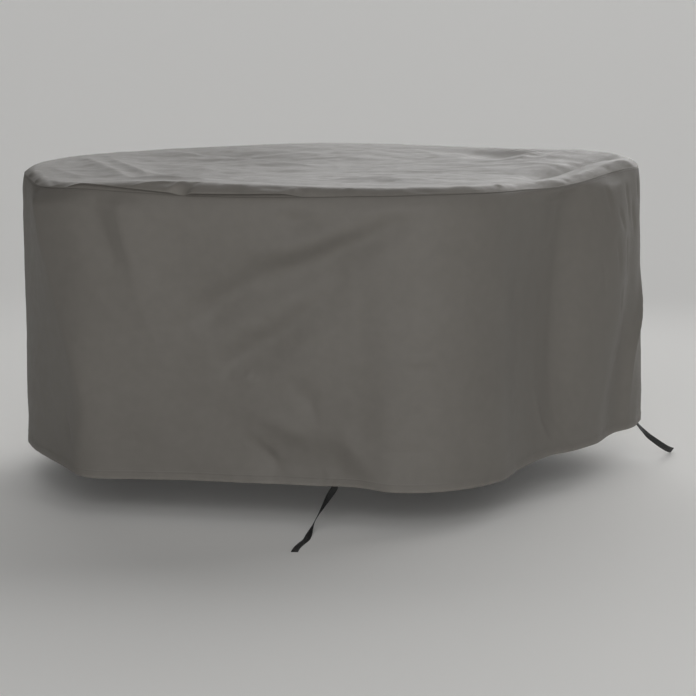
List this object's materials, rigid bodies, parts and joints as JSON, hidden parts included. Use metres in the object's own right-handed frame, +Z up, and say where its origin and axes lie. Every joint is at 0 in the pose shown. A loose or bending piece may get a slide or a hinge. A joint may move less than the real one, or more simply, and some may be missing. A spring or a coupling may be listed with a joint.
{
  "type": "fitted patio furniture cover",
  "caption": "Round fitted cover of grey-taupe coated polyester for a garden table and chairs, sagging and folded as it hangs, with black webbing ties at the hem.",
  "frame": {"origin": "underside of the top panel at its middle, where the furniture holds the cover up", "axes": "+Z up, the side with the main folds and the front tie faces -Y, +X to the right of it"},
  "size_m": [2.161, 2.2125, 1.0339],
  "materials": {
    "polyester": "tightly woven coated polyester, matt with a slight sheen at grazing angles",
    "webbing": "woven polypropylene webbing, black, matt"
  },
  "bodies": {
    "root": {"top_panel": "polyester", "wall_panel": "polyester", "tie_front": "webbing", "tie_right": "webbing"}
  },
  "joints": []
}
